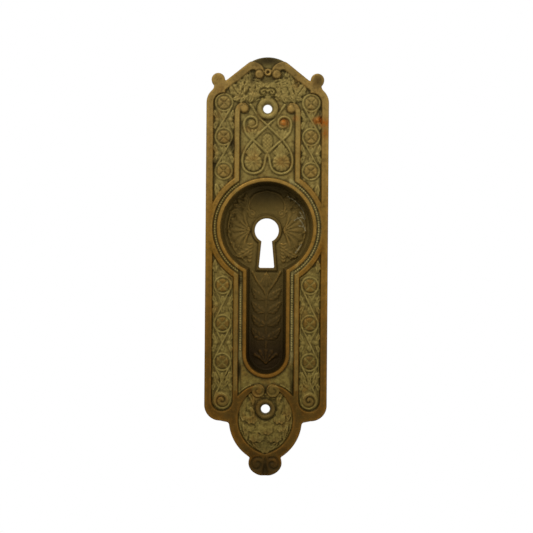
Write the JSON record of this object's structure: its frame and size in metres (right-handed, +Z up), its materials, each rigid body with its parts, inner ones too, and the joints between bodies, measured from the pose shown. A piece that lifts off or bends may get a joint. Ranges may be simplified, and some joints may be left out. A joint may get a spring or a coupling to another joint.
{
  "type": "pocket door plate",
  "caption": "Cast pocket door pull plate with a keyhole-shaped finger cup, a keyhole through its floor, screw holes on the centre line and raised scroll, rosette and leaf ornament.",
  "frame": {"origin": "on the flat back face, midway between the two screw holes", "axes": "+X to the right seen from the front, +Y from the front through the plate into the door, +Z up along the plate"},
  "size_m": [0.0546, 0.0118, 0.1867],
  "materials": {
    "bronze": "aged cast bronze with an olive brown patina, dark recesses and worn edges"
  },
  "bodies": {
    "root": {"door_plate": "bronze"}
  },
  "joints": []
}
